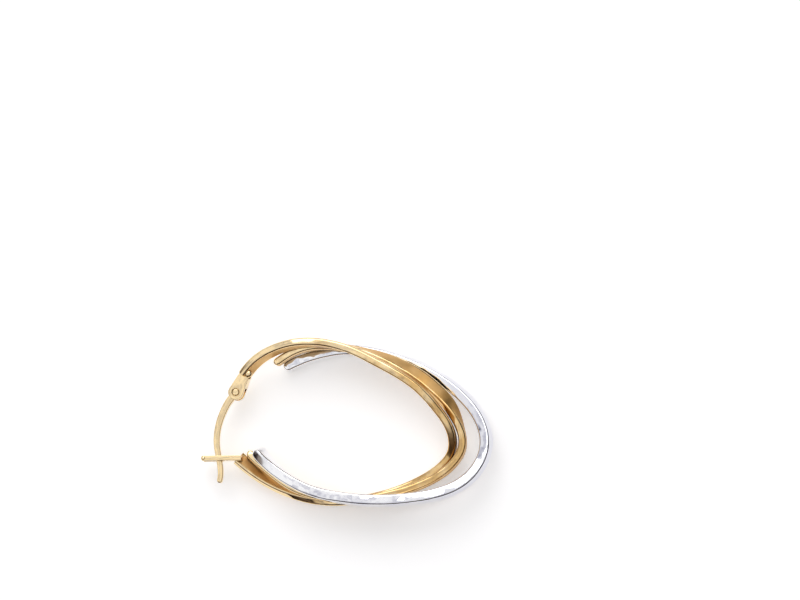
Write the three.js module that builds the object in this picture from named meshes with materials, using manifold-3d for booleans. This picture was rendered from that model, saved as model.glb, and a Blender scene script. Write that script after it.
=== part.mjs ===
// A hoop earring for a pierced ear, lying flat: three oval tubes, two of yellow gold and one of
// white metal, are open on the left and twist round each other once on the way round the hoop.
// A flat curved ear post turns on a pin in a fork and snaps into a second fork across the opening.
// X runs along the oval to its closed end, Y towards the hinge, Z up. The origin is on the ground
// under the middle of the earring. All lengths are in millimetres and all angles in degrees.
import * as THREE from 'three';
import { mergeVertices } from 'three/addons/utils/BufferGeometryUtils.js';
import Module from 'manifold-3d';

const wasm = await Module();
wasm.setup();

// The oval that the tubes follow: the size of its centre line.
const ovalLength = 32.4;
const ovalWidth = 17.0;
// How far the middle tube lies inside the white one at the closed end.
const openSpread = 2.8;

// The tubes. Across is measured in the plane of the hoop, high along Z.
const goldAcross = 0.88;
const whiteAcross = 1.2;
const tubeHigh = 1.6;
const tubeCorner = 0.26;
const tubeGap = 0.05;

// The ear post, a flat wire that bows away from the hoop and ends in a straight tail.
const postAcross = 0.82;
const postTipAcross = 0.6;
const postHigh = 0.78;
const postCorner = 0.12;
const postBow = 1.0;
const postTail = 2.35;

// The hinge. The fork reaches from the tube's end back to the pin, and turns from +X.
const pinRadius = 0.35;
const pinFit = 0.03;
const pinInset = 0.03;
const pinRim = 0.05;
const holeChamfer = 0.08;
const runningGap = 0.04;
const knuckleRadius = 0.76;
const knuckleRoom = 0.12;
const earThick = 0.46;
const earRadius = 0.85;
const forkRootAcross = 1.2;
const forkReach = 2.2;
const forkTurn = 73.6;

// The catch. Its reach is from its root to the post, and the prongs go on past the post. Its root
// is offset outwards from the middle of the tube's end.
const catchThick = 0.56;
const catchReach = 1.9;
const catchTurn = 190.8;
const prongReach = 1.9;
const prongHigh = 0.5;
const slotFloorGap = 0.2;
const slotChamfer = 0.21;
const catchRootDepth = 0.75;
const catchOffset = 0.2;

// How finely curves are cut into flat faces, and the turns at which a round end is cut.
const tubeSteps = 62;
const postSteps = 30;
const roundSides = 24;
const roundEndTurns = [20, 45, 70];
// The height that a round end keeps at its tip.
const endHighShare = 0.75;
// A corner is never rounder than this share of the narrower side.
const largestCornerShare = 0.49;
// A tube's direction is taken over this much of a turn to each side.
const directionProbe = 0.5;

const goldStep = goldAcross + tubeGap;
const stackStep = tubeHigh + tubeGap;
const slotHigh = postHigh + 2 * runningGap;
const forkHigh = slotHigh + 2 * earThick;
const catchHigh = slotHigh + 2 * prongHigh;

// Each row is a station on the oval. The angle goes from the hinge side round the closed end to the
// catch side. Inset is a share of openSpread and step a share of goldStep, both towards the middle
// of the hoop. Rise is a share of stackStep. A positive roll turns the tube's top outward.
const carrierStations = [
  { angle: 149, inset: 1.09, step: -1.0, rise: 0.3, roll: 34 },
  { angle: 130, inset: 0.58, step: -1.0, rise: 0.68, roll: 22 },
  { angle: 113, inset: 0.33, step: -1.0, rise: 1.03, roll: 9 },
  { angle: 97, inset: 0.24, step: -0.5, rise: 1.05, roll: 0 },
  { angle: 79, inset: 0.34, step: 0.3, rise: 1.05, roll: -10 },
  { angle: 60, inset: 0.48, step: 0.8, rise: 1.03, roll: -10 },
  { angle: 35, inset: 0.83, step: 1.08, rise: 0.79, roll: -4 },
  { angle: 5, inset: 0.98, step: 1.16, rise: 0.13, roll: 0 },
  { angle: -23, inset: 0.72, step: 1.24, rise: -0.68, roll: 0 },
  { angle: -48, inset: 0.44, step: 0.95, rise: -1.0, roll: 0 },
  { angle: -70, inset: 0.19, step: 0.3, rise: -1.05, roll: 0 },
  { angle: -91, inset: 0.03, step: -0.5, rise: -1.05, roll: 12 },
  { angle: -111, inset: 0.15, step: -0.84, rise: -0.94, roll: 54 },
  { angle: -134.5, inset: 0.32, step: -0.8, rise: -0.46, roll: 64 },
];
const middleStations = [
  { angle: 127, inset: 0.61, rise: -0.06, roll: 0 },
  { angle: 115, inset: 0.21, rise: -0.02, roll: 0 },
  { angle: 105, inset: 0.06, rise: 0.0, roll: 0 },
  { angle: 90, inset: 0.1, rise: 0.0, roll: -12 },
  { angle: 67, inset: 0.29, rise: 0.0, roll: -56 },
  { angle: 47, inset: 0.56, rise: 0.0, roll: -62 },
  { angle: 17, inset: 0.95, rise: 0.0, roll: -2 },
  { angle: -14, inset: 0.86, rise: 0.0, roll: 0 },
  { angle: -36, inset: 0.65, rise: 0.0, roll: 0 },
  { angle: -60, inset: 0.34, rise: 0.0, roll: 0 },
  { angle: -82, inset: 0.03, rise: 0.0, roll: 0 },
  { angle: -102, inset: -0.04, rise: 0.0, roll: 0 },
  { angle: -120, inset: 0.27, rise: -0.03, roll: -10 },
  { angle: -131, inset: 0.46, rise: -0.04, roll: -8 },
];
const whiteStations = [
  { angle: 123, inset: 0.77, rise: -1.0, roll: 0 },
  { angle: 107, inset: 0.36, rise: -1.0, roll: 5 },
  { angle: 94, inset: 0.08, rise: -1.05, roll: 0 },
  { angle: 70, inset: 0.0, rise: -1.05, roll: -10 },
  { angle: 45, inset: 0.03, rise: -0.75, roll: -14 },
  { angle: 17, inset: 0.03, rise: -0.25, roll: -14 },
  { angle: -8, inset: -0.06, rise: 0.25, roll: -14 },
  { angle: -32, inset: -0.18, rise: 0.7, roll: -12 },
  { angle: -57, inset: -0.06, rise: 1.0, roll: -10 },
  { angle: -81, inset: 0.0, rise: 1.05, roll: -6 },
  { angle: -98, inset: 0.07, rise: 1.05, roll: 0 },
  { angle: -115, inset: 0.4, rise: 1.02, roll: 12 },
  { angle: -127, inset: 0.73, rise: 1.0, roll: 34 },
];

// The centre line of the ear post. Along is a share of the way from the pin to the catch in the
// first table, and of the tail past the catch in the second. Bow is a share of postBow, away from
// the hoop.
const postStations = [
  { along: 0, bow: 0 },
  { along: 0.13, bow: 0.52 },
  { along: 0.27, bow: 0.82 },
  { along: 0.46, bow: 1 },
  { along: 0.65, bow: 0.93 },
  { along: 0.8, bow: 0.66 },
  { along: 0.93, bow: 0.25 },
  { along: 1, bow: 0 },
];
const tailStations = [
  { along: 0.2, bow: -0.22 },
  { along: 0.45, bow: -0.46 },
  { along: 0.75, bow: -0.66 },
  { along: 1, bow: -0.74 },
];

const radians = THREE.MathUtils.degToRad;

// A smooth value of one column between the rows of a station table.
function smoothValue(rows, column, angle) {
  const last = rows.length - 1;
  const following = rows.findIndex((row) => row.angle < angle);
  const index = following < 0 ? last - 1 : Math.max(following - 1, 0);
  const slope = (at) => {
    const before = rows[Math.max(at - 1, 0)];
    const after = rows[Math.min(at + 1, last)];
    return (after[column] - before[column]) / (after.angle - before.angle);
  };
  const span = rows[index + 1].angle - rows[index].angle;
  const t = (angle - rows[index].angle) / span;
  const endWeight = 3 * t ** 2 - 2 * t ** 3;
  const startSlopeWeight = t ** 3 - 2 * t ** 2 + t;
  const endSlopeWeight = t ** 3 - t ** 2;
  return (1 - endWeight) * rows[index][column] + endWeight * rows[index + 1][column]
    + startSlopeWeight * span * slope(index) + endSlopeWeight * span * slope(index + 1);
}

// The centre of a tube at one angle. Only the carrier's table has a step column.
function tubeCentre(stations, angle) {
  const step = 'step' in stations[0] ? smoothValue(stations, 'step', angle) : 0;
  const inset = smoothValue(stations, 'inset', angle) * openSpread + step * goldStep;
  return new THREE.Vector3(
    (ovalLength / 2 - inset) * Math.cos(radians(angle)),
    (ovalWidth / 2 - inset) * Math.sin(radians(angle)),
    smoothValue(stations, 'rise', angle) * stackStep,
  );
}

// The directions of a tube at one angle: forward along it, out of the hoop and up, rolled.
function tubeAxes(stations, angle) {
  const ahead = tubeCentre(stations, angle - directionProbe);
  const behind = tubeCentre(stations, angle + directionProbe);
  const forward = ahead.sub(behind).normalize();
  const flatOut = new THREE.Vector3(-forward.y, forward.x, 0).normalize();
  const flatUp = new THREE.Vector3().crossVectors(forward, flatOut);
  const roll = radians(smoothValue(stations, 'roll', angle));
  const out = flatOut.clone().multiplyScalar(Math.cos(roll)).addScaledVector(flatUp, -Math.sin(roll));
  const up = flatUp.clone().multiplyScalar(Math.cos(roll)).addScaledVector(flatOut, Math.sin(roll));
  return { forward, out, up };
}

// A rectangle with rounded corners, three points to a corner, as [sideways, upward] pairs.
function roundedRectangle(across, high, corner) {
  const arc = Math.min(corner, Math.min(across, high) * largestCornerShare);
  const points = [];
  for (let quarter = 0; quarter < 4; quarter += 1) {
    const side = quarter === 0 || quarter === 3 ? 1 : -1;
    const rise = quarter < 2 ? 1 : -1;
    for (let step = 0; step <= 2; step += 1) {
      const turn = radians(quarter * 90 + step * 45);
      points.push([
        side * (across / 2 - arc) + arc * Math.cos(turn),
        rise * (high / 2 - arc) + arc * Math.sin(turn),
      ]);
    }
  }
  return points;
}

// One ring of a skin: an outline set across a path.
function ringOf(outline, centre, out, up) {
  return outline.map(([sideways, upward]) => centre.clone()
    .addScaledVector(out, sideways)
    .addScaledVector(up, upward));
}

// A closed skin through rings of points, with a flat cap on the first and the last ring.
function loft(rings) {
  const size = rings[0].length;
  const positions = rings.flat().flatMap((point) => [point.x, point.y, point.z]);
  const faces = [];
  for (let ring = 0; ring < rings.length - 1; ring += 1) {
    for (let side = 0; side < size; side += 1) {
      const next = (side + 1) % size;
      const a = ring * size + side;
      const b = ring * size + next;
      const c = a + size;
      const d = b + size;
      faces.push(a, b, d, a, d, c);
    }
  }
  const last = (rings.length - 1) * size;
  for (let side = 1; side < size - 1; side += 1) {
    faces.push(0, side + 1, side);
    faces.push(last, last + side, last + side + 1);
  }
  const geometry = new THREE.BufferGeometry();
  geometry.setAttribute('position', new THREE.Float32BufferAttribute(positions, 3));
  geometry.setIndex(faces);
  return geometry;
}

// One tube. A round end narrows over half the tube's width, like the end of a U.
function tube(stations, across, endTurns) {
  const start = stations[0].angle;
  const end = stations.at(-1).angle;
  const ringAt = (angle, forwardBy, narrow) => {
    const { forward, out, up } = tubeAxes(stations, angle);
    const centre = tubeCentre(stations, angle).addScaledVector(forward, forwardBy);
    const high = tubeHigh * (endHighShare + (1 - endHighShare) * narrow);
    return ringOf(roundedRectangle(across * narrow, high, tubeCorner * narrow), centre, out, up);
  };
  const endRing = (angle, direct) => (turn) => ringAt(
    angle,
    direct * across / 2 * Math.cos(radians(turn)),
    Math.sin(radians(turn)),
  );
  const rings = endTurns.map(endRing(start, -1));
  for (let step = 0; step <= tubeSteps; step += 1) {
    rings.push(ringAt(start + (end - start) * step / tubeSteps, 0, 1));
  }
  rings.push(...endTurns.toReversed().map(endRing(end, 1)));
  return loft(rings);
}

// A three.js geometry as a solid that can be joined and cut.
function solidOf(geometry) {
  const bare = geometry.clone();
  bare.deleteAttribute('normal');
  bare.deleteAttribute('uv');
  const merged = mergeVertices(bare);
  return new wasm.Manifold(new wasm.Mesh({
    numProp: 3,
    vertProperties: new Float32Array(merged.attributes.position.array),
    triVerts: new Uint32Array(merged.index.array),
  }));
}

// A solid back as a three.js geometry.
function geometryOf(solid) {
  const mesh = solid.getMesh();
  const geometry = new THREE.BufferGeometry();
  geometry.setAttribute('position', new THREE.BufferAttribute(mesh.vertProperties.slice(), 3));
  geometry.setIndex(new THREE.BufferAttribute(mesh.triVerts.slice(), 1));
  return geometry;
}

// A round bar along Z through a point.
function roundBar(radius, length, centre) {
  const bar = new THREE.CylinderGeometry(radius, radius, length, roundSides);
  bar.rotateX(Math.PI / 2);
  bar.translate(centre.x, centre.y, centre.z);
  return bar;
}

// A flat outline, drawn on X and Y, as a plate of one thickness about Z = 0.
function plate(outline, thick) {
  const curveSegments = roundSides / 2;
  const geometry = new THREE.ExtrudeGeometry(outline, { depth: thick, bevelEnabled: false, curveSegments });
  geometry.translate(0, 0, -thick / 2);
  return geometry;
}

function direction(turn) {
  return new THREE.Vector3(Math.cos(radians(turn)), Math.sin(radians(turn)), 0);
}

// The post, its pin and both forks are centred on Z = 0, whatever the height of the tube's ends.
function groundPoint(point) {
  return new THREE.Vector3(point.x, point.y, 0);
}

const hingeRoot = groundPoint(tubeCentre(carrierStations, carrierStations[0].angle));
const catchRoot = groundPoint(tubeCentre(carrierStations, carrierStations.at(-1).angle))
  .addScaledVector(direction(carrierStations.at(-1).angle), catchOffset);
const pinCentre = hingeRoot.clone().addScaledVector(direction(forkTurn), -forkReach);
const crossing = catchRoot.clone().addScaledVector(direction(catchTurn), catchReach);

// A round body about the pin's line, from rows of radius and height.
function turned(rows) {
  const profile = rows.map(([radius, height]) => new THREE.Vector2(radius, height));
  const geometry = new THREE.LatheGeometry(profile, roundSides);
  geometry.rotateX(Math.PI / 2);
  geometry.translate(pinCentre.x, pinCentre.y, 0);
  return geometry;
}

// The hole for the pin, with a chamfer at both faces of the fork. It is cut well past the faces.
function pinHole() {
  const radius = pinRadius + pinFit;
  const half = forkHigh / 2;
  const chamferStart = half - holeChamfer;
  return turned([
    [0, -forkHigh],
    [radius + holeChamfer, -forkHigh],
    [radius + holeChamfer, -half],
    [radius, -chamferStart],
    [radius, chamferStart],
    [radius + holeChamfer, half],
    [radius + holeChamfer, forkHigh],
    [0, forkHigh],
  ]);
}

// The fork that holds the hinge pin: a plate with a round end, slotted for the post's knuckle.
function hingeFork() {
  const outline = new THREE.Shape();
  outline.moveTo(0, -earRadius);
  outline.lineTo(forkReach, -forkRootAcross / 2);
  outline.lineTo(forkReach, forkRootAcross / 2);
  outline.lineTo(0, earRadius);
  outline.absarc(0, 0, earRadius, Math.PI / 2, Math.PI * 1.5, false);
  // The slot is cut from far outside the fork up to the knuckle's room.
  const slotEnd = knuckleRadius + knuckleRoom;
  const slotLength = slotEnd + forkReach;
  const slot = new THREE.BoxGeometry(slotLength, 2 * forkReach, slotHigh);
  slot.translate(slotEnd - slotLength / 2, 0, 0);
  const body = plate(outline, forkHigh);
  for (const geometry of [body, slot]) {
    geometry.rotateZ(radians(forkTurn));
    geometry.translate(pinCentre.x, pinCentre.y, 0);
  }
  return solidOf(body).subtract(solidOf(slot)).subtract(solidOf(pinHole()));
}

// The fork that the post snaps into: two prongs with round ends, one above the post, one below.
function catchFork() {
  const floor = catchReach - postAcross / 2 - slotFloorGap;
  const halfSlot = slotHigh / 2;
  const half = catchHigh / 2;
  const tipRadius = prongHigh / 2;
  const tipCentre = catchReach + prongReach - tipRadius;
  const outline = new THREE.Shape();
  outline.moveTo(-catchRootDepth, -half);
  outline.lineTo(tipCentre, -half);
  outline.absarc(tipCentre, -half + tipRadius, tipRadius, -Math.PI / 2, Math.PI / 2, false);
  outline.lineTo(floor + slotChamfer, -halfSlot);
  outline.lineTo(floor, slotChamfer - halfSlot);
  outline.lineTo(floor, halfSlot - slotChamfer);
  outline.lineTo(floor + slotChamfer, halfSlot);
  outline.lineTo(tipCentre, halfSlot);
  outline.absarc(tipCentre, half - tipRadius, tipRadius, -Math.PI / 2, Math.PI / 2, false);
  outline.lineTo(-catchRootDepth, half);
  const fork = plate(outline, catchThick);
  fork.rotateX(Math.PI / 2);
  fork.rotateZ(radians(catchTurn));
  fork.translate(catchRoot.x, catchRoot.y, 0);
  return solidOf(fork);
}

// The gold tube with both forks soldered to its ends.
function carrierStrand() {
  const strand = solidOf(tube(carrierStations, goldAcross, []));
  return geometryOf(strand.add(hingeFork()).add(catchFork()));
}

// The centre line of the post, from the pin over the catch to the tip.
function postCurve() {
  const chord = crossing.clone().sub(pinCentre);
  const along = chord.clone().normalize();
  const away = new THREE.Vector3(along.y, -along.x, 0);
  const pointsFrom = (start, length) => (row) => start.clone()
    .addScaledVector(along, row.along * length)
    .addScaledVector(away, row.bow * postBow);
  return new THREE.CatmullRomCurve3([
    ...postStations.map(pointsFrom(pinCentre, chord.length())),
    ...tailStations.map(pointsFrom(crossing, postTail)),
  ], false, 'centripetal');
}

// The post: a tapering flat wire with a round tip, and a knuckle that turns on the pin.
function earPost() {
  const curve = postCurve();
  const up = new THREE.Vector3(0, 0, 1);
  const ringAt = (share, forwardBy, narrow) => {
    const forward = curve.getTangentAt(share);
    const out = new THREE.Vector3(-forward.y, forward.x, 0).normalize();
    const centre = curve.getPointAt(share).addScaledVector(forward, forwardBy);
    const across = THREE.MathUtils.lerp(postAcross, postTipAcross, share) * narrow;
    const high = postHigh * (endHighShare + (1 - endHighShare) * narrow);
    return ringOf(roundedRectangle(across, high, postCorner * narrow), centre, out, up);
  };
  const rings = [];
  for (let step = 0; step <= postSteps; step += 1) {
    rings.push(ringAt(step / postSteps, 0, 1));
  }
  for (const turn of roundEndTurns.toReversed()) {
    rings.push(ringAt(1, postTipAcross / 2 * Math.cos(radians(turn)), Math.sin(radians(turn))));
  }
  const knuckle = solidOf(roundBar(knuckleRadius, postHigh, pinCentre));
  const bore = solidOf(roundBar(pinRadius + runningGap, 2 * postHigh, pinCentre));
  return geometryOf(solidOf(loft(rings)).add(knuckle).subtract(bore));
}

// The pin is a rivet that ends just below the faces of the fork, its rims chamfered.
function hingePin() {
  const half = forkHigh / 2 - pinInset;
  return turned([
    [0, -half],
    [pinRadius - pinRim, -half],
    [pinRadius, pinRim - half],
    [pinRadius, half - pinRim],
    [pinRadius - pinRim, half],
    [0, half],
  ]);
}

const yellowGold = new THREE.MeshStandardMaterial({ color: 0xe0b25a, roughness: 0.12, metalness: 1 });
const whiteMetal = new THREE.MeshStandardMaterial({ color: 0xd9d9de, roughness: 0.1, metalness: 1 });

const earring = new THREE.Group();
function addPiece(name, geometry, material) {
  const piece = new THREE.Mesh(geometry, material);
  piece.name = name;
  earring.add(piece);
}

addPiece('carrier_strand', carrierStrand(), yellowGold);
addPiece('middle_strand', tube(middleStations, goldAcross, roundEndTurns), yellowGold);
addPiece('white_strand', tube(whiteStations, whiteAcross, roundEndTurns), whiteMetal);
addPiece('hinge_pin', hingePin(), yellowGold);
addPiece('ear_post', earPost(), yellowGold);

// The earring lies on the lowest points of its tubes, with the origin under its middle.
const box = new THREE.Box3().setFromObject(earring);
const middle = box.getCenter(new THREE.Vector3());
earring.position.set(-middle.x, -middle.y, -box.min.z);

export default earring;
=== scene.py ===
# The looks of a two-tone hoop earring that lies flat on a pale floor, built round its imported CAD
# model. Sizes are in millimetres and angles in degrees, as in the CAD source, until placed() turns
# a point into metres in the model's own frame.
import math

import bmesh
import bpy
from mathutils import Matrix, Vector


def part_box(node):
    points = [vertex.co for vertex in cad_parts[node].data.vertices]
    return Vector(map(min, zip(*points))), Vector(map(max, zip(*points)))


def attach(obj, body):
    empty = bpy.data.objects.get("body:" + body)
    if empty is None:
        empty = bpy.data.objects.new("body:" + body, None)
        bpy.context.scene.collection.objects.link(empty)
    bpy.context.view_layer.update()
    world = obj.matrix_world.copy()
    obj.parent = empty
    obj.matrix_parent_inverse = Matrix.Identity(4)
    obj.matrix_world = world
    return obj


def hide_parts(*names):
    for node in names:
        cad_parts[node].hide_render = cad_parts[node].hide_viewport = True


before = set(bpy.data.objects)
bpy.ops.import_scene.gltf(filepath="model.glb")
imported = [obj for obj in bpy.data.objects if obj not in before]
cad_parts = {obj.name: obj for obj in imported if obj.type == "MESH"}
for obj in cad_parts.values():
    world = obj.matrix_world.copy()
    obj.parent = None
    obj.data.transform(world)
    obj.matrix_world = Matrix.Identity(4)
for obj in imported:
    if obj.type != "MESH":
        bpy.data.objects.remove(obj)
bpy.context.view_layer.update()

# The driving sizes, as in the CAD source.
OVAL_LENGTH = 32.4
OVAL_WIDTH = 17.0
OPEN_SPREAD = 2.8
GOLD_ACROSS = 0.88
WHITE_ACROSS = 1.2
TUBE_HIGH = 1.6
TUBE_CORNER = 0.26
TUBE_GAP = 0.05
POST_ACROSS = 0.82
POST_TIP_ACROSS = 0.6
POST_HIGH = 0.78
POST_CORNER = 0.12
POST_BOW = 1.0
POST_TAIL = 2.35
PIN_RADIUS = 0.35
PIN_FIT = 0.03
PIN_INSET = 0.03
PIN_RIM = 0.05
HOLE_CHAMFER = 0.08
RUNNING_GAP = 0.04
KNUCKLE_RADIUS = 0.76
KNUCKLE_ROOM = 0.12
EAR_THICK = 0.46
EAR_RADIUS = 0.85
FORK_ROOT_ACROSS = 1.2
FORK_REACH = 2.2
FORK_TURN = 73.6
CATCH_THICK = 0.56
CATCH_REACH = 1.9
CATCH_TURN = 190.8
PRONG_REACH = 1.9
PRONG_HIGH = 0.5
SLOT_FLOOR_GAP = 0.2
SLOT_CHAMFER = 0.21
CATCH_ROOT_DEPTH = 0.75
CATCH_OFFSET = 0.2

GOLD_STEP = GOLD_ACROSS + TUBE_GAP
STACK_STEP = TUBE_HIGH + TUBE_GAP
SLOT_HIGH = POST_HIGH + 2 * RUNNING_GAP
FORK_HIGH = SLOT_HIGH + 2 * EAR_THICK
CATCH_HIGH = SLOT_HIGH + 2 * PRONG_HIGH

# Small details that the CAD source leaves out: rounded rims, the ball at a prong's tip, and the
# beads of solder as place along the fork from the pin, place aside, height, radius and half height.
FORK_BEVEL = 0.06
CATCH_BEVEL = 0.07
KNUCKLE_RIM = 0.05
CATCH_BALL = 0.31
SOLDER = [(2.5, -0.38, 0.95, 0.44, 0.3), (2.15, -0.58, 0.7, 0.26, 0.22)]

# How finely the looks are cut.
TUBE_STEPS = 360
POST_STEPS = 150
CORNER_STEPS = 6
LINE_STEPS = 40
LATHE_STEPS = 96
BEAD_STEPS = 12
BEAD_AROUND = 48
BEAD_END_TURN = 80
EAR_STEPS = 48
TIP_STEPS = 16
RIM_SEGMENTS = 4
DIRECTION_PROBE = 0.5
SHORTEST_STEP = 1e-6

# How ends and rims are rounded: by turns of a quarter circle, and the shares of height and corner.
END_TURNS = [6, 14, 24, 36, 50, 68]
END_HIGH_SHARE = 0.75
LARGEST_CORNER_SHARE = 0.49
PIN_RIM_TURNS = (0, 30, 60, 90)
ROUND_PROFILE = 0.5

# Edges sharper than the first three stay sharp, and a plate's rims sharper than the last are
# rounded.
TUBE_SHARP = 50
PLATE_SHARP = 35
BORE_SHARP = 40
RIM_SHARP = 40

# Stations on the oval: angle, inset, step, rise and roll, as in the CAD source.
CARRIER = [
    (149, 1.09, -1.0, 0.3, 34),
    (130, 0.58, -1.0, 0.68, 22),
    (113, 0.33, -1.0, 1.03, 9),
    (97, 0.24, -0.5, 1.05, 0),
    (79, 0.34, 0.3, 1.05, -10),
    (60, 0.48, 0.8, 1.03, -10),
    (35, 0.83, 1.08, 0.79, -4),
    (5, 0.98, 1.16, 0.13, 0),
    (-23, 0.72, 1.24, -0.68, 0),
    (-48, 0.44, 0.95, -1.0, 0),
    (-70, 0.19, 0.3, -1.05, 0),
    (-91, 0.03, -0.5, -1.05, 12),
    (-111, 0.15, -0.84, -0.94, 54),
    (-134.5, 0.32, -0.8, -0.46, 64),
]
MIDDLE = [
    (127, 0.61, 0, -0.06, 0),
    (115, 0.21, 0, -0.02, 0),
    (105, 0.06, 0, 0.0, 0),
    (90, 0.1, 0, 0.0, -12),
    (67, 0.29, 0, 0.0, -56),
    (47, 0.56, 0, 0.0, -62),
    (17, 0.95, 0, 0.0, -2),
    (-14, 0.86, 0, 0.0, 0),
    (-36, 0.65, 0, 0.0, 0),
    (-60, 0.34, 0, 0.0, 0),
    (-82, 0.03, 0, 0.0, 0),
    (-102, -0.04, 0, 0.0, 0),
    (-120, 0.27, 0, -0.03, -10),
    (-131, 0.46, 0, -0.04, -8),
]
WHITE = [
    (123, 0.77, 0, -1.0, 0),
    (107, 0.36, 0, -1.0, 5),
    (94, 0.08, 0, -1.05, 0),
    (70, 0.0, 0, -1.05, -10),
    (45, 0.03, 0, -0.75, -14),
    (17, 0.03, 0, -0.25, -14),
    (-8, -0.06, 0, 0.25, -14),
    (-32, -0.18, 0, 0.7, -12),
    (-57, -0.06, 0, 1.0, -10),
    (-81, 0.0, 0, 1.05, -6),
    (-98, 0.07, 0, 1.05, 0),
    (-115, 0.4, 0, 1.02, 12),
    (-127, 0.73, 0, 1.0, 34),
]
INSET, STEP, RISE, ROLL = 1, 2, 3, 4

# The centre line of the post: share of the way along, and share of its bow.
POST = [
    (0, 0), (0.13, 0.52), (0.27, 0.82), (0.46, 1),
    (0.65, 0.93), (0.8, 0.66), (0.93, 0.25), (1, 0),
]
TAIL = [(0.2, -0.22), (0.45, -0.46), (0.75, -0.66), (1, -0.74)]


def smooth_value(rows, column, angle):
    """A smooth value of one column between the rows of a station table."""
    last = len(rows) - 1
    index = next((i for i, row in enumerate(rows) if row[0] < angle), last) - 1
    index = min(max(index, 0), last - 1)

    def slope(at):
        before, after = rows[max(at - 1, 0)], rows[min(at + 1, last)]
        return (after[column] - before[column]) / (after[0] - before[0])

    span = rows[index + 1][0] - rows[index][0]
    t = (angle - rows[index][0]) / span
    end_weight = 3 * t**2 - 2 * t**3
    value = (1 - end_weight) * rows[index][column] + end_weight * rows[index + 1][column]
    value += (t**3 - 2 * t**2 + t) * span * slope(index)
    value += (t**3 - t**2) * span * slope(index + 1)
    return value


def tube_centre(stations, angle):
    """The centre of a tube at one angle."""
    inset = smooth_value(stations, INSET, angle) * OPEN_SPREAD
    inset += smooth_value(stations, STEP, angle) * GOLD_STEP
    turn = math.radians(angle)
    return Vector((
        (OVAL_LENGTH / 2 - inset) * math.cos(turn),
        (OVAL_WIDTH / 2 - inset) * math.sin(turn),
        smooth_value(stations, RISE, angle) * STACK_STEP,
    ))


def tube_axes(stations, angle):
    """The directions of a tube at one angle: forward along it, out of the hoop and up, rolled."""
    ahead = tube_centre(stations, angle - DIRECTION_PROBE)
    forward = (ahead - tube_centre(stations, angle + DIRECTION_PROBE)).normalized()
    flat_out = Vector((-forward.y, forward.x, 0)).normalized()
    flat_up = forward.cross(flat_out)
    roll = math.radians(smooth_value(stations, ROLL, angle))
    out = flat_out * math.cos(roll) - flat_up * math.sin(roll)
    up = flat_up * math.cos(roll) + flat_out * math.sin(roll)
    return forward, out, up


def rounded_rectangle(across, high, corner):
    """A rectangle with rounded corners, as (sideways, upward) pairs."""
    arc = min(corner, LARGEST_CORNER_SHARE * min(across, high))
    points = []
    for quarter in range(4):
        side = 1 if quarter in (0, 3) else -1
        rise = 1 if quarter < 2 else -1
        for step in range(CORNER_STEPS + 1):
            turn = math.radians(quarter * 90 + 90 * step / CORNER_STEPS)
            points.append((
                side * (across / 2 - arc) + arc * math.cos(turn),
                rise * (high / 2 - arc) + arc * math.sin(turn),
            ))
    return points


def ring_of(outline, centre, out, up):
    """One ring of a skin: an outline set across a path."""
    return [centre + out * sideways + up * upward for sideways, upward in outline]


def flat(vector):
    """A place moved to the middle height, or a direction without its rise."""
    return Vector((vector.x, vector.y, 0))


def heading(degrees, length):
    """A flat step of a given length in a direction."""
    turn = math.radians(degrees)
    return Vector((length * math.cos(turn), length * math.sin(turn), 0))


def pin_centre():
    """Where the pin is before the model is moved to its own origin."""
    return flat(tube_centre(CARRIER, CARRIER[0][0])) - heading(FORK_TURN, FORK_REACH)


PIN = pin_centre()
pin_low, pin_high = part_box("hinge_pin")
TO_FRAME = (pin_low + pin_high) / 2 * 1000 - PIN


def placed(point):
    """A point in metres in the model's frame."""
    return (point + TO_FRAME) / 1000


def closed_mesh(name, points, faces):
    """A mesh in the model's frame, its faces turned outwards."""
    mesh = bpy.data.meshes.new(name)
    mesh.from_pydata([placed(point) for point in points], [], faces)
    mesh.validate()
    fix = bmesh.new()
    fix.from_mesh(mesh)
    bmesh.ops.recalc_face_normals(fix, faces=fix.faces)
    fix.to_mesh(mesh)
    fix.free()
    return mesh


def new_piece(name, points, faces, body, material, slot):
    """A smooth mesh piece that rides on a body."""
    mesh = closed_mesh(name, points, faces)
    for face in mesh.polygons:
        face.use_smooth = True
    piece = bpy.data.objects.new(name, mesh)
    bpy.context.scene.collection.objects.link(piece)
    mesh.materials.append(material)
    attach(piece, body)
    return piece


def loft(rings):
    """The points and faces of a closed skin through rings."""
    size = len(rings[0])
    points = [point for ring in rings for point in ring]
    faces = []
    for ring in range(len(rings) - 1):
        for side in range(size):
            following = (side + 1) % size
            a, b = ring * size + side, ring * size + following
            faces.append((a, b, b + size, a + size))
    last = (len(rings) - 1) * size
    faces.append(tuple(reversed(range(size))))
    faces.append(tuple(range(last, last + size)))
    return points, faces


def tube(stations, across, end_turns):
    """One tube. A round end narrows over half the tube's width."""
    start, end = stations[0][0], stations[-1][0]

    def ring_at(angle, forward_by, narrow):
        forward, out, up = tube_axes(stations, angle)
        centre = tube_centre(stations, angle) + forward * forward_by
        high = TUBE_HIGH * (END_HIGH_SHARE + (1 - END_HIGH_SHARE) * narrow)
        outline = rounded_rectangle(across * narrow, high, TUBE_CORNER * narrow)
        return ring_of(outline, centre, out, up)

    def end_ring(angle, direct, turn):
        turn = math.radians(turn)
        return ring_at(angle, direct * across / 2 * math.cos(turn), math.sin(turn))

    rings = [end_ring(start, -1, turn) for turn in end_turns]
    for step in range(TUBE_STEPS + 1):
        rings.append(ring_at(start + (end - start) * step / TUBE_STEPS, 0, 1))
    rings += [end_ring(end, 1, turn) for turn in reversed(end_turns)]
    return loft(rings)


def catch_root():
    """Where the catch is soldered to the carrier's end."""
    end = CARRIER[-1][0]
    return flat(tube_centre(CARRIER, end)) + heading(end, CATCH_OFFSET)


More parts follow.
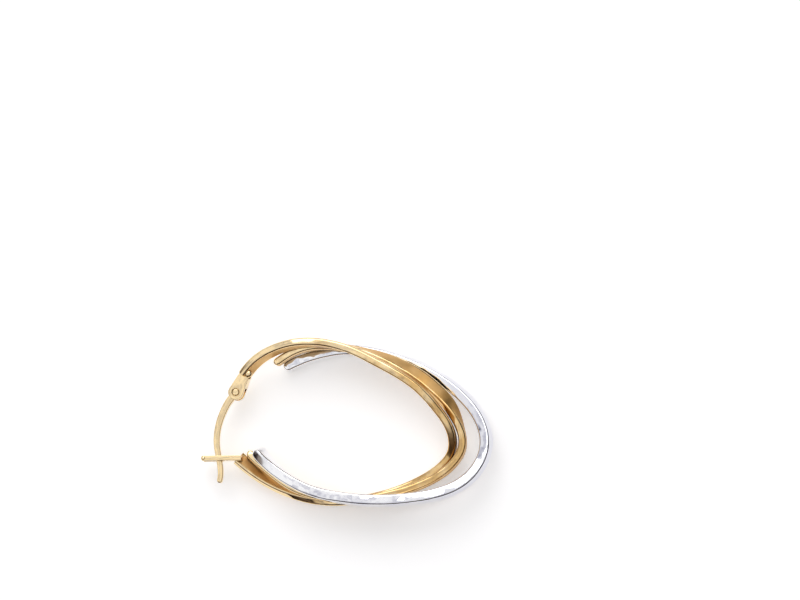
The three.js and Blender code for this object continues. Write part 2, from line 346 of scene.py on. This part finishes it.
def post_points():
    """The points that the centre line of the post goes through, as in the CAD source."""
    crossing = catch_root() + heading(CATCH_TURN, CATCH_REACH)
    chord = crossing - PIN
    along = chord.normalized()
    away = Vector((along.y, -along.x, 0))
    points = [PIN + along * share * chord.length + away * bow * POST_BOW for share, bow in POST]
    points += [crossing + along * share * POST_TAIL + away * bow * POST_BOW for share, bow in TAIL]
    return points


def smooth_line(points, steps):
    """Evenly spaced points on a smooth line through the given ones, and the line's directions."""
    dense = []
    ends = [points[0] * 2 - points[1]] + points + [points[-1] * 2 - points[-2]]
    for first, second, third, fourth in zip(ends, ends[1:], ends[2:], ends[3:]):
        gaps = [
            max((b - a).length, SHORTEST_STEP) ** 0.5
            for a, b in ((first, second), (second, third), (third, fourth))
        ]
        start_slope = (second - first) / gaps[0] - (third - first) / (gaps[0] + gaps[1])
        start_slope = (start_slope + (third - second) / gaps[1]) * gaps[1]
        end_slope = (third - second) / gaps[1] - (fourth - second) / (gaps[1] + gaps[2])
        end_slope = (end_slope + (fourth - third) / gaps[2]) * gaps[1]
        for step in range(LINE_STEPS):
            t = step / LINE_STEPS
            point = second * (2 * t**3 - 3 * t**2 + 1) + third * (3 * t**2 - 2 * t**3)
            point += start_slope * (t**3 - 2 * t**2 + t) + end_slope * (t**3 - t**2)
            dense.append(point)
    dense.append(points[-1].copy())
    lengths = [0.0]
    for a, b in zip(dense, dense[1:]):
        lengths.append(lengths[-1] + (b - a).length)
    line = []
    index = 0
    for step in range(steps + 1):
        wanted = lengths[-1] * step / steps
        while index < len(dense) - 2 and lengths[index + 1] < wanted:
            index += 1
        share = (wanted - lengths[index]) / (lengths[index + 1] - lengths[index])
        line.append(dense[index].lerp(dense[index + 1], share))
    directions = [
        (line[min(index + 1, steps)] - line[max(index - 1, 0)]).normalized()
        for index in range(steps + 1)
    ]
    return line, directions


def post_wire():
    """The flat wire of the post, with a round tip."""
    line, directions = smooth_line(post_points(), POST_STEPS)
    up = Vector((0, 0, 1))

    def ring_at(index, forward_by, narrow):
        forward = directions[index]
        out = Vector((-forward.y, forward.x, 0)).normalized()
        share = index / POST_STEPS
        across = (POST_ACROSS + (POST_TIP_ACROSS - POST_ACROSS) * share) * narrow
        high = POST_HIGH * (END_HIGH_SHARE + (1 - END_HIGH_SHARE) * narrow)
        outline = rounded_rectangle(across, high, POST_CORNER * narrow)
        return ring_of(outline, line[index] + forward * forward_by, out, up)

    rings = [ring_at(index, 0, 1) for index in range(POST_STEPS + 1)]
    for turn in reversed(END_TURNS):
        turn = math.radians(turn)
        rings.append(ring_at(POST_STEPS, POST_TIP_ACROSS / 2 * math.cos(turn), math.sin(turn)))
    return loft(rings)


def lathe(profile, centre, steps=LATHE_STEPS):
    """The points and faces of a closed round body about Z from (radius, height) rows."""
    rings = []
    for radius, height in profile:
        rings.append([
            centre + Vector((radius * math.cos(turn), radius * math.sin(turn), height))
            for turn in (math.tau * step / steps for step in range(steps))
        ])
    return loft(rings)


def bevelled_plate(outline, thick, bevel, place):
    """A plate from a flat outline, thick about its middle, its rims rounded by a bevel."""
    mesh = bmesh.new()
    low = [mesh.verts.new((x, y, -thick / 2)) for x, y in outline]
    mesh.faces.new(low)
    made = bmesh.ops.extrude_face_region(mesh, geom=mesh.faces[:])
    for item in made["geom"]:
        if isinstance(item, bmesh.types.BMVert):
            item.co.z = thick / 2
    bmesh.ops.recalc_face_normals(mesh, faces=mesh.faces)
    rims = [edge for edge in mesh.edges if edge.calc_face_angle(0) > math.radians(RIM_SHARP)]
    bmesh.ops.bevel(
        mesh, geom=rims, offset=bevel, segments=RIM_SEGMENTS, affect="EDGES", profile=ROUND_PROFILE
    )
    mesh.verts.index_update()
    points = [place(vert.co.copy()) for vert in mesh.verts]
    faces = [tuple(vert.index for vert in face.verts) for face in mesh.faces]
    mesh.free()
    return points, faces


def cut_by(piece, points, faces):
    """Cuts a closed shape out of a piece."""
    mesh = closed_mesh("cutter", points, faces)
    cutter = bpy.data.objects.new("cutter", mesh)
    bpy.context.scene.collection.objects.link(cutter)
    cut = piece.modifiers.new("cut", "BOOLEAN")
    cut.operation = "DIFFERENCE"
    cut.solver = "EXACT"
    cut.object = cutter
    bpy.context.view_layer.update()
    graph = bpy.context.evaluated_depsgraph_get()
    result = bpy.data.meshes.new_from_object(piece.evaluated_get(graph))
    piece.modifiers.clear()
    old = piece.data
    piece.data = result
    bpy.data.meshes.remove(old)
    bpy.data.objects.remove(cutter)
    bpy.data.meshes.remove(mesh)


def bead(centre, radius, high):
    """The points and faces of a rounded bead."""
    turns = [
        math.radians(BEAD_END_TURN * (2 * step / BEAD_STEPS - 1))
        for step in range(BEAD_STEPS + 1)
    ]
    profile = [(radius * math.cos(turn), high * math.sin(turn)) for turn in turns]
    return lathe(profile, centre, BEAD_AROUND)


def box_shape(low, high, place):
    """The points and faces of a box, placed."""
    corners = [
        (x, y, z)
        for x in (low[0], high[0])
        for y in (low[1], high[1])
        for z in (low[2], high[2])
    ]
    faces = [(0, 1, 3, 2), (4, 6, 7, 5), (0, 4, 5, 1), (2, 3, 7, 6), (0, 2, 6, 4), (1, 5, 7, 3)]
    return [place(Vector(corner)) for corner in corners], faces


def set_sharp(piece, degrees):
    """Smooth faces, apart from edges sharper than the given angle."""
    piece.data.set_sharp_from_angle(angle=math.radians(degrees))


# The metals. A painted shade deepens the tone towards +X by the first number, in shares of a ramp to
# the metre, and the nook colours are painted shade in the hollows between parts. Scales are noise
# waves to the metre, distances are metres, and stops are places on a ramp. A ramp's new stops start
# half way and are then moved.
# Painted shade: the metal's colour darkens towards +X.
SHADE_ALONG_X = 17
STAIN_SCALE = 420
STAIN_DETAIL = 4
STAIN_AND_SHADE_STOPS = (0.3, 0.6)
NOOK_SHADE_STOPS = (0.2, 0.6)
NOOK_SAMPLES = 8
NOOK_DISTANCE = 0.00045
HAZE_STOPS = (0.3, 0.7)
HAZE_SHARES = (0.7, 1.4)
WAVE_SCALE = 450
WAVE_DETAIL = 1.5
SCRATCH_SCALE = 5200
SCRATCH_DETAIL = 3
NEW_STOP = 0.5
UNSHADED = (1, 1, 1)
# Painted shade in the nooks between parts, for gold and for white gold.
GOLD_NOOK_SHADE = (0.1, 0.045, 0.015)
WHITE_NOOK_SHADE = (0.24, 0.18, 0.13)


def noise(nodes, links, place, scale, detail):
    """A noise pattern over a place."""
    pattern = nodes.new("ShaderNodeTexNoise")
    pattern.inputs["Scale"].default_value = scale
    pattern.inputs["Detail"].default_value = detail
    links.new(place, pattern.inputs["Vector"])
    return pattern.outputs["Fac"]


def along_axis(nodes, links, place, axis):
    """How far a place lies along an axis."""
    node = nodes.new("ShaderNodeVectorMath")
    node.operation = "DOT_PRODUCT"
    node.inputs[1].default_value = axis
    links.new(place, node.inputs[0])
    return node.outputs["Value"]


def colour_ramp(nodes, links, source, stops, smooth="LINEAR"):
    """A colour ramp on a source, from (position, grey or colour) stops."""
    node = nodes.new("ShaderNodeValToRGB")
    ramp = node.color_ramp
    ramp.interpolation = smooth
    while len(ramp.elements) < len(stops):
        ramp.elements.new(NEW_STOP)
    for element, (position, value) in zip(ramp.elements, stops):
        element.position = position
        colour = value if isinstance(value, tuple) else (value, value, value)
        element.color = (*colour, 1)
    links.new(source, node.inputs["Fac"])
    return node.outputs["Color"]


def bump(nodes, links, height, distance, under=None):
    """A bump of the given height in metres, on top of another bump."""
    node = nodes.new("ShaderNodeBump")
    node.inputs["Strength"].default_value = 1.0
    node.inputs["Distance"].default_value = distance
    links.new(height, node.inputs["Height"])
    if under is not None:
        links.new(under, node.inputs["Normal"])
    return node.outputs["Normal"]


def stained_and_shaded_colour(nodes, links, place, stains, colour, deep_colour, nook_shade_colour):
    """A stained colour with painted shade that deepens it towards +X, and painted shade in the nooks."""
    stain_and_shade = nodes.new("ShaderNodeMath")
    stain_and_shade.operation = "ADD"
    links.new(stains, stain_and_shade.inputs[0])
    # Painted shade: the stain value is lowered towards +X, so the colour deepens there.
    links.new(along_axis(nodes, links, place, (-SHADE_ALONG_X, 0, 0)), stain_and_shade.inputs[1])
    tint_stops = list(zip(STAIN_AND_SHADE_STOPS, (deep_colour, colour)))
    tint = colour_ramp(nodes, links, stain_and_shade.outputs["Value"], tint_stops)
    # Painted shade: the colour darkens where other parts are close, in the nooks between the tubes.
    nook = nodes.new("ShaderNodeAmbientOcclusion")
    nook.samples = NOOK_SAMPLES
    nook.inputs["Distance"].default_value = NOOK_DISTANCE
    nook_shade_stops = list(zip(NOOK_SHADE_STOPS, (nook_shade_colour, UNSHADED)))
    nook_shade = colour_ramp(nodes, links, nook.outputs["AO"], nook_shade_stops)
    darken = nodes.new("ShaderNodeMix")
    darken.data_type = "RGBA"
    darken.blend_type = "MULTIPLY"
    darken.inputs["Factor"].default_value = 1.0
    links.new(tint, darken.inputs["A"])
    links.new(nook_shade, darken.inputs["B"])
    return darken.outputs["Result"]


def metal(name, colour, deep_colour, nook_shade_colour, roughness, wave, scratch, streak=(1, 1, 1)):
    """Metal with faint stains, painted shade towards +X and in the nooks, soft waves left by filing, and
    lines drawn out by streak.
    """
    material = bpy.data.materials.new(name)
    material.use_nodes = True
    nodes, links = material.node_tree.nodes, material.node_tree.links
    shader = nodes["Principled BSDF"]
    shader.inputs["Metallic"].default_value = 1.0
    place = nodes.new("ShaderNodeTexCoord").outputs["Object"]
    stains = noise(nodes, links, place, STAIN_SCALE, STAIN_DETAIL)
    stained_and_shaded = stained_and_shaded_colour(nodes, links, place, stains, colour, deep_colour, nook_shade_colour)
    links.new(stained_and_shaded, shader.inputs["Base Color"])

    haze = nodes.new("ShaderNodeMapRange")
    haze.inputs["From Min"].default_value = HAZE_STOPS[0]
    haze.inputs["From Max"].default_value = HAZE_STOPS[1]
    haze.inputs["To Min"].default_value = roughness * HAZE_SHARES[0]
    haze.inputs["To Max"].default_value = roughness * HAZE_SHARES[1]
    links.new(stains, haze.inputs["Value"])
    links.new(haze.outputs["Result"], shader.inputs["Roughness"])

    drawn = nodes.new("ShaderNodeMapping")
    drawn.inputs["Scale"].default_value = streak
    links.new(place, drawn.inputs["Vector"])
    waves = noise(nodes, links, place, WAVE_SCALE, WAVE_DETAIL)
    lines = noise(nodes, links, drawn.outputs["Vector"], SCRATCH_SCALE, SCRATCH_DETAIL)
    fine = bump(nodes, links, lines, scratch, bump(nodes, links, waves, wave))
    links.new(fine, shader.inputs["Normal"])
    return material


yellow = metal(
    "yellow_gold",
    colour=(0.95, 0.74, 0.43),
    deep_colour=(0.68, 0.44, 0.18),
    nook_shade_colour=GOLD_NOOK_SHADE,
    roughness=0.09,
    wave=0.00014,
    scratch=0.000001,
)
# The satin gold is rougher, and its darker colour is painted shade for the tubes' flat sides.
shaded_satin = metal(
    "shaded_satin_gold",
    colour=(0.82, 0.55, 0.25),
    deep_colour=(0.6, 0.35, 0.12),
    nook_shade_colour=GOLD_NOOK_SHADE,
    roughness=0.48,
    wave=0.0001,
    scratch=0.00001,
    streak=(1, 1, 0.15),
)
white = metal(
    "white_gold",
    colour=(0.9, 0.9, 0.92),
    deep_colour=(0.74, 0.74, 0.79),
    nook_shade_colour=WHITE_NOOK_SHADE,
    roughness=0.06,
    wave=0.00024,
    scratch=0.000001,
)


def shaded_satin_sides(piece):
    """A satin finish in a darker gold, painted shade, for the flat sides of a gold tube: its top, bottom
    and corners are polished.
    """
    piece.data.materials.append(shaded_satin)
    around = 4 * (CORNER_STEPS + 1)
    inner, outer = 2 * (CORNER_STEPS + 1) - 1, around - 1
    for number, face in enumerate(piece.data.polygons):
        if len(face.vertices) == 4 and number % around in (inner, outer):
            face.material_index = 1


def gold_piece(name, shape, body, node):
    """A piece of yellow gold that takes the place of a CAD node."""
    piece = new_piece(name, *shape, body, yellow, "yellow_gold")
    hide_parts(node)
    return piece


def make_strands():
    """The three tubes."""
    carrier = gold_piece("carrier_tube", tube(CARRIER, GOLD_ACROSS, []), "hoop", "carrier_strand")
    middle = gold_piece("middle_tube", tube(MIDDLE, GOLD_ACROSS, END_TURNS), "hoop", "middle_strand")
    outer = new_piece("white_tube", *tube(WHITE, WHITE_ACROSS, END_TURNS), "hoop", white, "white_gold")
    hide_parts("white_strand")
    for piece in (carrier, middle):
        shaded_satin_sides(piece)
    for piece in (carrier, middle, outer):
        set_sharp(piece, TUBE_SHARP)


def at_pin(point):
    """A place given from the pin along the hinge fork."""
    return Matrix.Rotation(math.radians(FORK_TURN), 4, "Z") @ point + PIN


def make_fork():
    """The fork of the hinge, with a slot for the post's knuckle and a hole for the pin."""
    outline = [(FORK_REACH, -FORK_ROOT_ACROSS / 2), (FORK_REACH, FORK_ROOT_ACROSS / 2)]
    for step in range(EAR_STEPS + 1):
        angle = math.radians(90 + 180 * step / EAR_STEPS)
        outline.append((EAR_RADIUS * math.cos(angle), EAR_RADIUS * math.sin(angle)))
    plate = bevelled_plate(outline, FORK_HIGH, FORK_BEVEL, at_pin)
    fork = gold_piece("hinge_fork", plate, "hoop", "carrier_strand")
    slot_end = KNUCKLE_RADIUS + KNUCKLE_ROOM
    slot_low = (-FORK_REACH, -FORK_REACH, -SLOT_HIGH / 2)
    slot_high = (slot_end, FORK_REACH, SLOT_HIGH / 2)
    cut_by(fork, *box_shape(slot_low, slot_high, at_pin))
    hole = PIN_RADIUS + PIN_FIT
    half = FORK_HIGH / 2
    wide = hole + HOLE_CHAMFER
    upper = [(hole, half - HOLE_CHAMFER), (wide, half), (wide, FORK_HIGH)]
    lower = [(radius, -height) for radius, height in reversed(upper)]
    cut_by(fork, *lathe(lower + upper, PIN))
    set_sharp(fork, PLATE_SHARP)


def make_pin():
    """The pin, with rounded rims, set in a little from the fork's faces."""
    half = FORK_HIGH / 2 - PIN_INSET
    turns = [math.radians(turn) for turn in PIN_RIM_TURNS]
    rim = [
        (PIN_RADIUS - PIN_RIM * (1 - math.cos(turn)), half - PIN_RIM * (1 - math.sin(turn)))
        for turn in turns
    ]
    profile = [(radius, -height) for radius, height in reversed(rim)] + rim
    pin = gold_piece("pin", lathe(profile, PIN), "hoop", "hinge_pin")
    set_sharp(pin, TUBE_SHARP)


def bore_for_pin(piece):
    """A hole for the pin through a piece of the ear post."""
    bore = PIN_RADIUS + RUNNING_GAP
    cut_by(piece, *lathe([(bore, -POST_HIGH), (bore, POST_HIGH)], PIN))
    set_sharp(piece, BORE_SHARP)


def make_post():
    """The wire of the ear post."""
    bore_for_pin(gold_piece("post_wire", post_wire(), "post", "ear_post"))


def make_solder():
    """Beads of solder where the hinge fork meets the tube."""
    for number, (along, aside, height, radius, high) in enumerate(SOLDER):
        centre = at_pin(Vector((along, aside, height)))
        gold_piece(f"solder_{number}", bead(centre, radius, high), "hoop", "carrier_strand")


def make_knuckle():
    """The knuckle of the ear post, round the pin."""
    half = POST_HIGH / 2
    inner = KNUCKLE_RADIUS - KNUCKLE_RIM
    upper = [(KNUCKLE_RADIUS, half - KNUCKLE_RIM), (inner, half)]
    lower = [(radius, -height) for radius, height in reversed(upper)]
    bore_for_pin(gold_piece("post_knuckle", lathe(lower + upper, PIN), "post", "ear_post"))


def make_catch():
    """The fork that the post snaps into: its outline is seen from the side, and it has round rims."""
    turn = Matrix.Rotation(math.radians(CATCH_TURN), 4, "Z") @ Matrix.Rotation(math.pi / 2, 4, "X")
    root = catch_root()

    def at_root(point):
        return turn @ point + root

    floor = CATCH_REACH - POST_ACROSS / 2 - SLOT_FLOOR_GAP
    half_slot, half = SLOT_HIGH / 2, CATCH_HIGH / 2
    tip = PRONG_HIGH / 2
    tip_centre = CATCH_REACH + PRONG_REACH - tip

    def tip_arc(height):
        turns = [math.radians(180 * step / TIP_STEPS - 90) for step in range(TIP_STEPS + 1)]
        return [(tip_centre + tip * math.cos(turn), height + tip * math.sin(turn)) for turn in turns]

    outline = [
        (-CATCH_ROOT_DEPTH, -half),
        *tip_arc(tip - half),
        (floor + SLOT_CHAMFER, -half_slot),
        (floor, SLOT_CHAMFER - half_slot),
        (floor, half_slot - SLOT_CHAMFER),
        (floor + SLOT_CHAMFER, half_slot),
        *tip_arc(half - tip),
        (-CATCH_ROOT_DEPTH, half),
    ]
    plate = bevelled_plate(outline, CATCH_THICK, CATCH_BEVEL, at_root)
    fork = gold_piece("catch_fork", plate, "hoop", "carrier_strand")
    set_sharp(fork, PLATE_SHARP)
    for number, side in enumerate((-1, 1)):
        centre = at_root(Vector((tip_centre, side * (half - tip), 0)))
        gold_piece(f"catch_ball_{number}", bead(centre, CATCH_BALL, CATCH_BALL), "hoop", "carrier_strand")


make_strands()
make_fork()
make_pin()
make_post()
make_solder()
make_knuckle()
make_catch()


# The floor, a hair under the earring. Its reach and drop are in metres.
FLOOR_REACH = 1.5
FLOOR_DROP = 0.00002
FLOOR_GREY = 0.93
FLOOR_ROUGHNESS = 0.6
FLOOR_SHINE = 0.2
FLOOR_GLOW = 0.375


def make_floor():
    """A wide pale floor."""
    mesh = bpy.data.meshes.new("floor")
    corners = [(x * FLOOR_REACH, y * FLOOR_REACH, 0) for x, y in ((-1, -1), (1, -1), (1, 1), (-1, 1))]
    mesh.from_pydata(corners, [], [(0, 1, 2, 3)])
    floor = bpy.data.objects.new("floor", mesh)
    floor.location.z = -FLOOR_DROP
    bpy.context.scene.collection.objects.link(floor)
    material = bpy.data.materials.new("floor")
    material.use_nodes = True
    shader = material.node_tree.nodes["Principled BSDF"]
    shader.inputs["Base Color"].default_value = (FLOOR_GREY, FLOOR_GREY, FLOOR_GREY, 1)
    shader.inputs["Roughness"].default_value = FLOOR_ROUGHNESS
    shader.inputs["Specular IOR Level"].default_value = FLOOR_SHINE
    shader.inputs["Emission Color"].default_value = (1, 1, 1, 1)
    shader.inputs["Emission Strength"].default_value = FLOOR_GLOW
    mesh.materials.append(material)


# The photograph's frame: its size and the earring's centre in pixels, a pixel in millimetres, how
# the earring is turned in the picture and how far the view leans from straight above. The lens
# stands away in millimetres and clips in metres.
IMAGE_WIDTH = 800
IMAGE_HEIGHT = 600
PIXEL = 0.112
CENTRE_PIXEL = (345, 423)
CENTRE_HEIGHT = 2.35
OBJECT_TILT = 10.8
LEAN_RIGHT = 8
LEAN_DOWN = 6
CAMERA_AWAY = 900
SENSOR_WIDTH = 36
CLIP_START = 0.01
CLIP_END = 10


def camera_axes():
    """The camera's right, up and back directions in the model's frame."""
    lean_right, lean_down = math.radians(LEAN_RIGHT), math.radians(LEAN_DOWN)
    over = Vector((0, 0, 1))
    right = heading(OBJECT_TILT, math.cos(lean_right)) - over * math.sin(lean_right)
    up = heading(OBJECT_TILT + 90, math.cos(lean_down)) + over * math.sin(lean_down)
    back = right.cross(up).normalized()
    return right, back.cross(right), back


def make_camera():
    """A long lens at the photograph's angle."""
    right, up, back = camera_axes()
    middle = Vector((TO_FRAME.x, TO_FRAME.y, CENTRE_HEIGHT))
    aim = middle + right * (IMAGE_WIDTH / 2 - CENTRE_PIXEL[0]) * PIXEL
    aim += up * (CENTRE_PIXEL[1] - IMAGE_HEIGHT / 2) * PIXEL
    data = bpy.data.cameras.new("camera")
    data.sensor_width = SENSOR_WIDTH
    data.lens = SENSOR_WIDTH * CAMERA_AWAY / (IMAGE_WIDTH * PIXEL)
    camera = bpy.data.objects.new("camera", data)
    camera.matrix_world = Matrix((right, up, back)).transposed().to_4x4()
    camera.location = (aim + back * CAMERA_AWAY) / 1000
    data.clip_start = CLIP_START
    data.clip_end = CLIP_END
    bpy.context.scene.collection.objects.link(camera)
    bpy.context.scene.camera = camera


# The sky is three ramps of (position, grey or colour) stops, multiplied: one from dark low down to
# open at the image's upper left, one that is black near the ground and more so at the right, and
# one of patchy folds. How far left a direction points is a share of how far up the image. The key
# lamp is in watts, metres and degrees.
SKY_TILT = 24
SKY_LEFT = 0.8
SKY = [
    (0.0, (0.05, 0.035, 0.025)),
    (0.26, (0.11, 0.08, 0.06)),
    (0.47, (0.3, 0.26, 0.23)),
    (0.6, 0.85),
    (0.82, 1.0),
    (1.0, 1.03),
]
SKIRTING_TILT = 20
SKIRTING = [(0.2, 0.0), (0.38, 1.0)]
FOLD_SCALE = 3.2
FOLD_DETAIL = 2
FOLDS = [(0.3, (0.1, 0.09, 0.09)), (0.39, (0.58, 0.58, 0.65)), (0.56, 1.0)]
KEY_POWER = 2.2
KEY_SIZE = 0.65
KEY_AWAY = 0.85
KEY_HEIGHT = 45
KEY_LEFT = 0.1


def leaning(side, degrees):
    """The direction of straight up, leaned towards a side."""
    turn = math.radians(degrees)
    return flat(side).normalized() * math.sin(turn) + Vector((0, 0, math.cos(turn)))


def make_sky():
    """A soft sky, open towards the image's upper left and dark lower down."""
    world = bpy.data.worlds.new("studio")
    bpy.context.scene.world = world
    world.use_nodes = True
    nodes, links = world.node_tree.nodes, world.node_tree.links
    place = nodes.new("ShaderNodeTexCoord").outputs["Generated"]
    right, up, _ = camera_axes()
    opening = along_axis(nodes, links, place, leaning(up - right * SKY_LEFT, SKY_TILT))
    leftward = along_axis(nodes, links, place, leaning(-right, SKIRTING_TILT))
    patches = noise(nodes, links, place, FOLD_SCALE, FOLD_DETAIL)
    sky = colour_ramp(nodes, links, opening, SKY, "EASE")
    for source, stops in ((leftward, SKIRTING), (patches, FOLDS)):
        factor = colour_ramp(nodes, links, source, stops, "EASE")
        product = nodes.new("ShaderNodeVectorMath")
        product.operation = "MULTIPLY"
        links.new(sky, product.inputs[0])
        links.new(factor, product.inputs[1])
        sky = product.outputs["Vector"]
    links.new(sky, nodes["Background"].inputs["Color"])


def make_key():
    """One soft lamp."""
    right, up, _ = camera_axes()
    data = bpy.data.lights.new("key", "AREA")
    data.energy = KEY_POWER
    data.size = KEY_SIZE
    key = bpy.data.objects.new("key", data)
    key.location = leaning(up - right * KEY_LEFT, 90 - KEY_HEIGHT) * KEY_AWAY
    key.rotation_euler = key.location.to_track_quat("Z", "Y").to_euler()
    bpy.context.scene.collection.objects.link(key)


make_floor()
make_camera()
make_sky()
make_key()
bpy.context.scene.view_settings.view_transform = "Standard"
